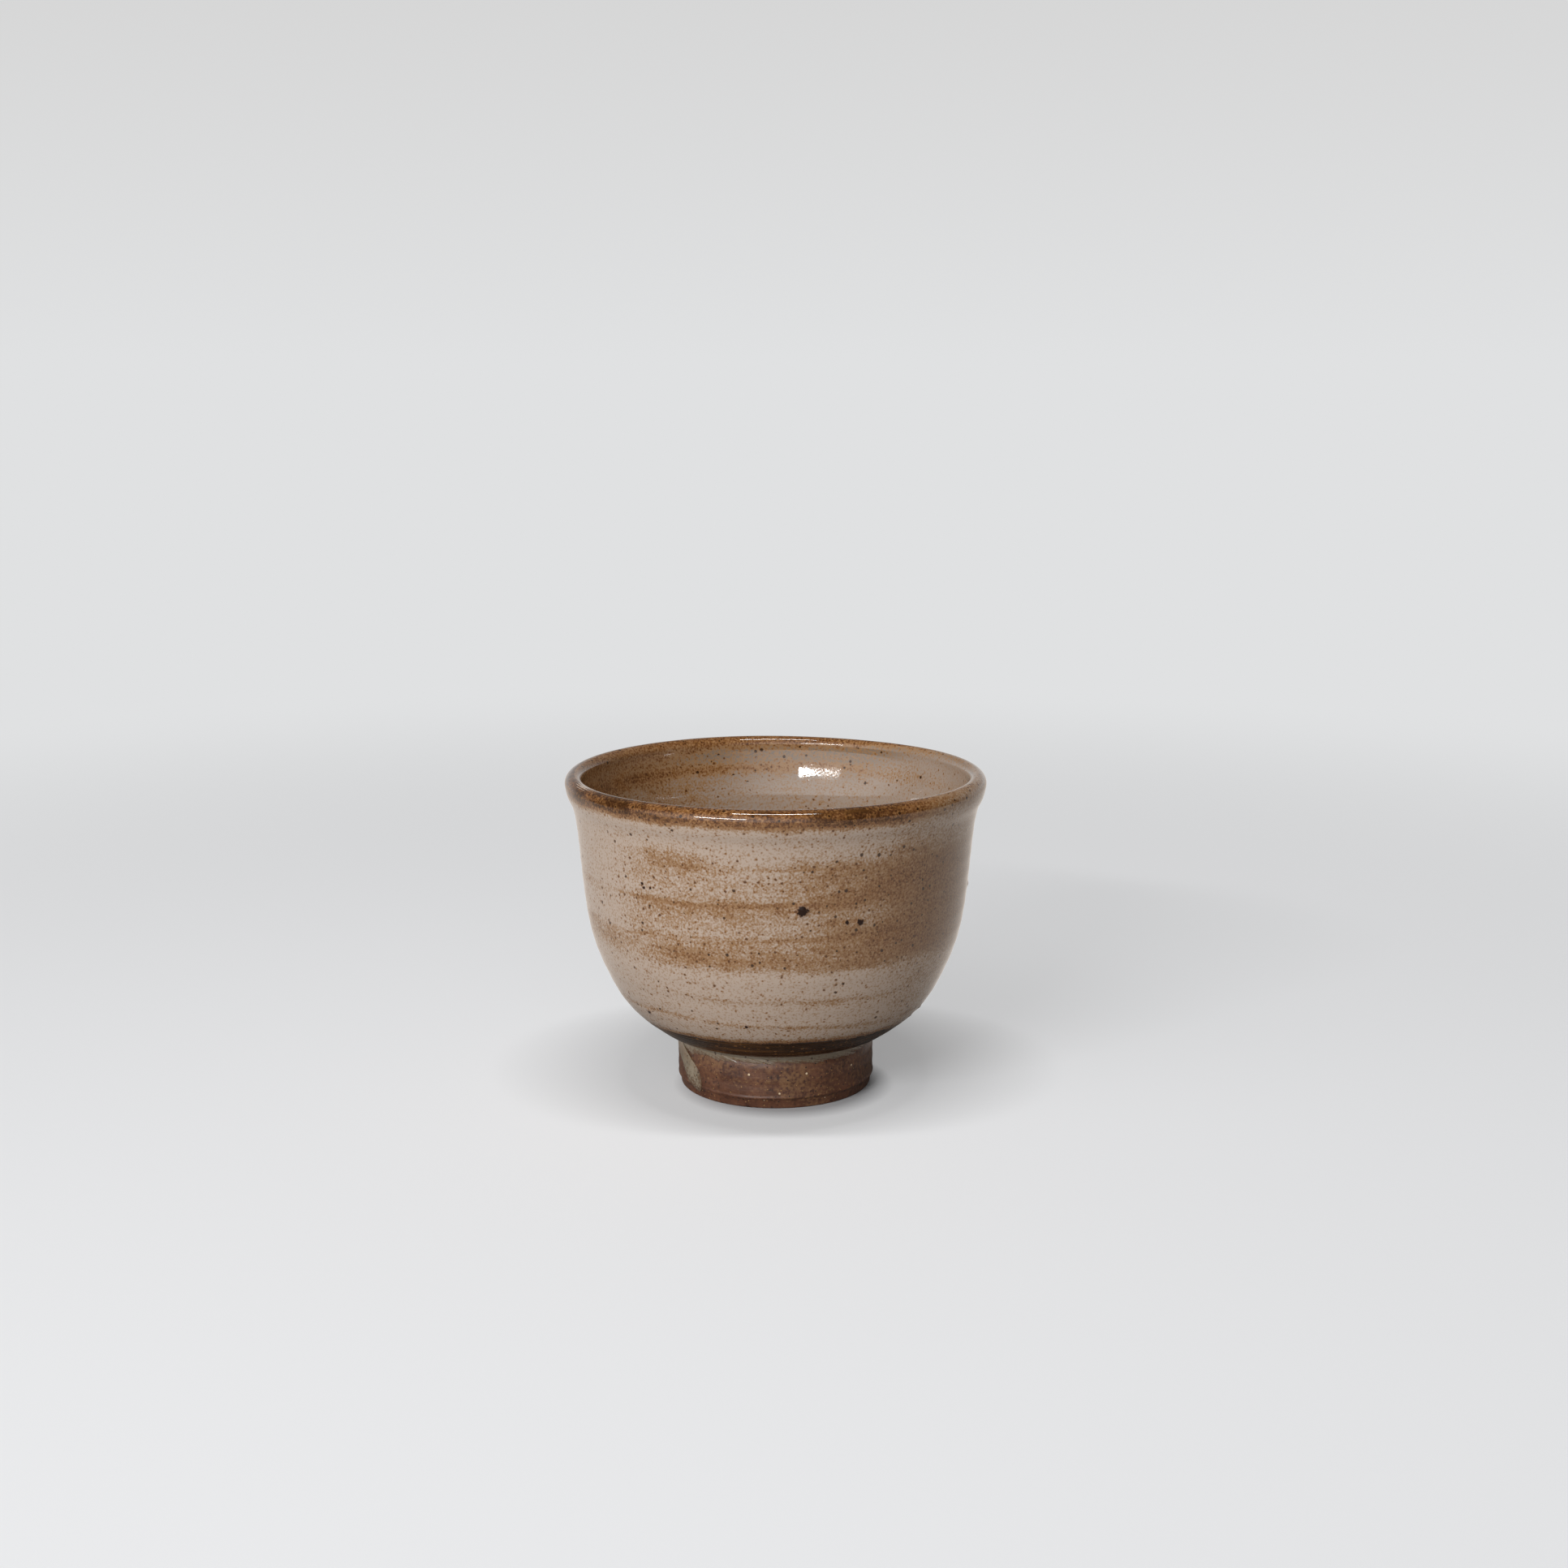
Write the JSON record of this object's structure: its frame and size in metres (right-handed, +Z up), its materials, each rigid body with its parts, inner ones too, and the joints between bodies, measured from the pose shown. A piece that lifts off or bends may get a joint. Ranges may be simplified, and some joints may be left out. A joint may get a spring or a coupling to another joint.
{
  "type": "tea cup",
  "caption": "Low round stoneware tea cup with a flared brown lip, streaked grey-beige glaze and a bare red-brown foot ring, held in the hands to drink tea.",
  "frame": {"origin": "centre of the foot, on the surface that the cup stands on", "axes": "+Z up along the axis that the cup was turned on; -Y is the front that the picture shows; +X is to the right seen from the front"},
  "size_m": [0.085, 0.085, 0.0648],
  "materials": {
    "stoneware": "matte",
    "body_glaze": "satin",
    "liner_glaze": "satin",
    "iron_brown_glaze": "gloss",
    "pale_glaze": "satin"
  },
  "bodies": {
    "root": {"clay_bowl": "stoneware", "foot_ring": "stoneware", "outer_glaze": "body_glaze", "inner_glaze": "liner_glaze", "lip_glaze": "iron_brown_glaze", "foot_glaze": "pale_glaze"}
  },
  "joints": []
}
